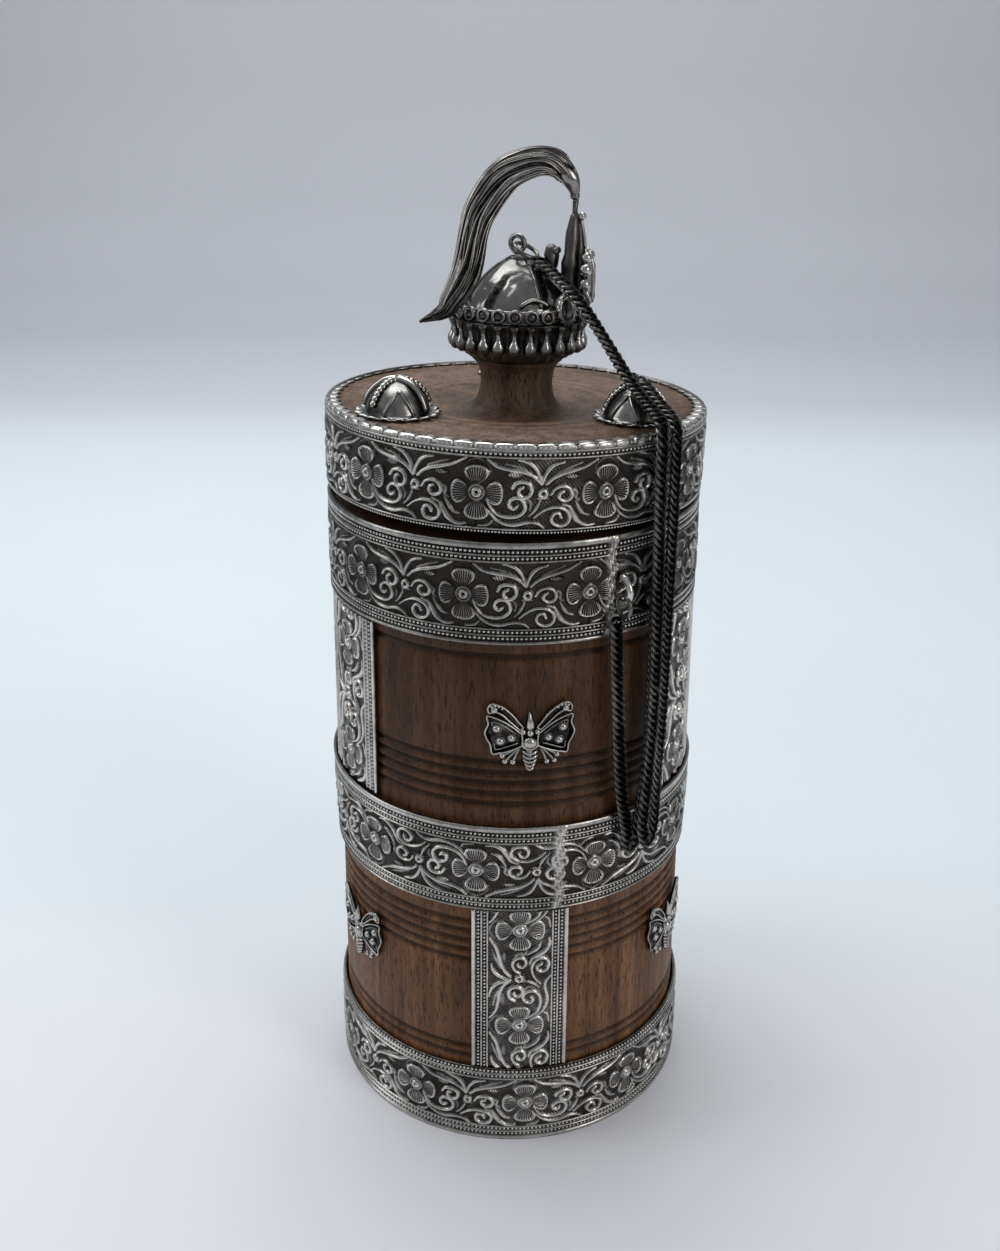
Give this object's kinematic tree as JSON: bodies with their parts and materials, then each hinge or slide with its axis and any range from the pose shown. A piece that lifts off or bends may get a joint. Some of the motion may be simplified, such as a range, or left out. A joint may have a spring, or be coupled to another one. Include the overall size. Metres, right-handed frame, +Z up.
{
  "type": "lidded box",
  "caption": "Cylindrical lidded wooden box bound with embossed silver bands and straps, with butterfly mounts, a chained lift-off lid and a plumed crown finial.",
  "frame": {"origin": "centre of the base, on the surface the box stands on", "axes": "+Z up along the vessel's axis, the front toward -Y, the viewer's right toward +X"},
  "size_m": [0.079, 0.0798, 0.1989],
  "materials": {
    "wood": "dark oiled wood with open pores",
    "silver": "embossed silver with darkened recesses",
    "dark_silver": "blackened silver, bright on its high points",
    "stone": "polished"
  },
  "bodies": {
    "vessel": {"vessel_body": "wood", "mouth_band": "silver", "waist_band": "silver", "foot_band": "silver", "upper_strap_left": "silver", "upper_strap_right": "silver", "upper_strap_back": "silver", "lower_strap_front": "silver", "lower_strap_right": "silver", "lower_strap_left": "silver", "upper_butterfly_front": "silver", "upper_butterfly_right": "silver", "upper_butterfly_left": "silver", "lower_butterfly_left": "silver", "lower_butterfly_right": "silver", "lower_butterfly_back": "silver", "chain_eye": "silver", "chain_eye_ring": "dark_silver", "chain_eye_run": "dark_silver"},
    "lid": {"lid_wood": "wood", "lid_band": "silver", "lid_boss_left": "silver", "lid_boss_right": "silver", "lid_boss_back": "silver", "crown_skirt": "dark_silver", "crown_settings": "dark_silver", "side_stone_right": "stone", "side_stone_left": "stone", "drop_fringe": "dark_silver", "crown_dome": "silver", "crest_leaf": "dark_silver", "crest_front_leaf": "silver", "crest_back_leaf": "dark_silver", "plume_quill": "silver", "plume_barbs": "silver", "cap_loop": "silver", "cap_ring": "dark_silver", "chain_lid_run": "dark_silver"}
  },
  "joints": [
    {"name": "lid_lift", "type": "slide", "parent": "vessel", "child": "lid", "axis": [0, 0, 1], "range_m": [0, 0.035]}
  ]
}
